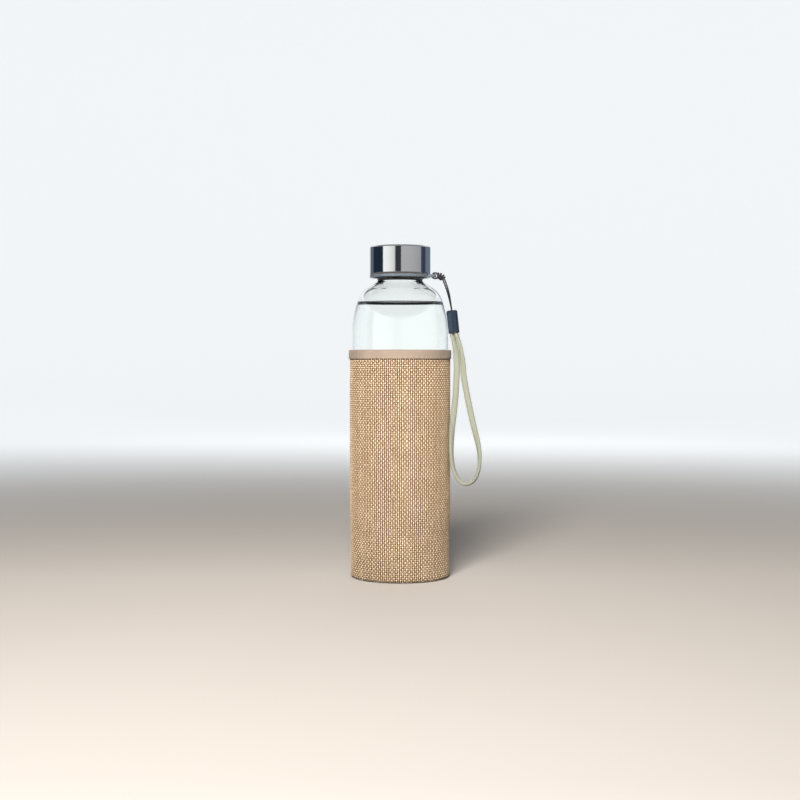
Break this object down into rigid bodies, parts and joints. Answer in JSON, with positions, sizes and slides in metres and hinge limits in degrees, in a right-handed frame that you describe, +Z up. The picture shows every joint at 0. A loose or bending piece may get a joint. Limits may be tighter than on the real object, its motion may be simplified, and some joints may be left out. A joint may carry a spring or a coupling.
{
  "type": "glass water bottle",
  "caption": "Glass drinking bottle with a steel screw lid, a woven pull-off sleeve and a braided wrist strap hung from the lid.",
  "frame": {"origin": "middle of the sleeve's underside, on the surface that the bottle stands on", "axes": "+Z up along the bottle, +X towards the strap's lug when the lid is closed"},
  "size_m": [0.0914, 0.069, 0.2207],
  "materials": {
    "glass": "clear, polished",
    "steel": "polished stainless steel, faintly brushed round",
    "liner_plastic": "smoky translucent moulded plastic",
    "silicone": "translucent silicone",
    "black_cord": "thin braided cord",
    "ferrule_metal": "dark slate, satin",
    "cream_braid": "flat braided cord",
    "woven_cloth": "coarse plain weave with a jute look",
    "binding_tape": "smooth tape",
    "thread": "sewing thread"
  },
  "bodies": {
    "sleeve": {"sleeve_body": "woven_cloth", "sleeve_base": "woven_cloth", "sleeve_binding": "binding_tape", "binding_stitches": "thread", "base_stitches": "thread", "side_stitches": "thread"},
    "bottle": {"glass_bottle": "glass"},
    "seal": {"lid_gasket": "silicone"},
    "lid": {"lid_shell": "steel", "lid_liner": "liner_plastic"},
    "strap": {"strap_cord": "black_cord", "ferrule": "ferrule_metal", "wrist_strap": "cream_braid"}
  },
  "joints": [
    {"name": "bottle_pull", "type": "slide", "parent": "sleeve", "child": "bottle", "axis": [0, 0, 1], "range_m": [0, 0.16]},
    {"name": "lid_lift", "type": "slide", "parent": "bottle", "child": "seal", "axis": [0, 0, 1], "range_m": [0, 0.0295]},
    {"name": "lid_turn", "type": "hinge", "parent": "seal", "child": "lid", "pos_m": [0, 0, 0.2], "axis": [0, 0, 1], "range_deg": [0, 2520]},
    {"name": "strap_swing", "type": "hinge", "parent": "lid", "child": "strap", "pos_m": [0.02475, 0, 0.20078], "axis": [0, -1, 0], "range_deg": [0, 100]}
  ],
  "couplings": [
    {"joint": "lid_lift", "follows": "lid_turn", "m_per_rad": 0.00066845}
  ]
}
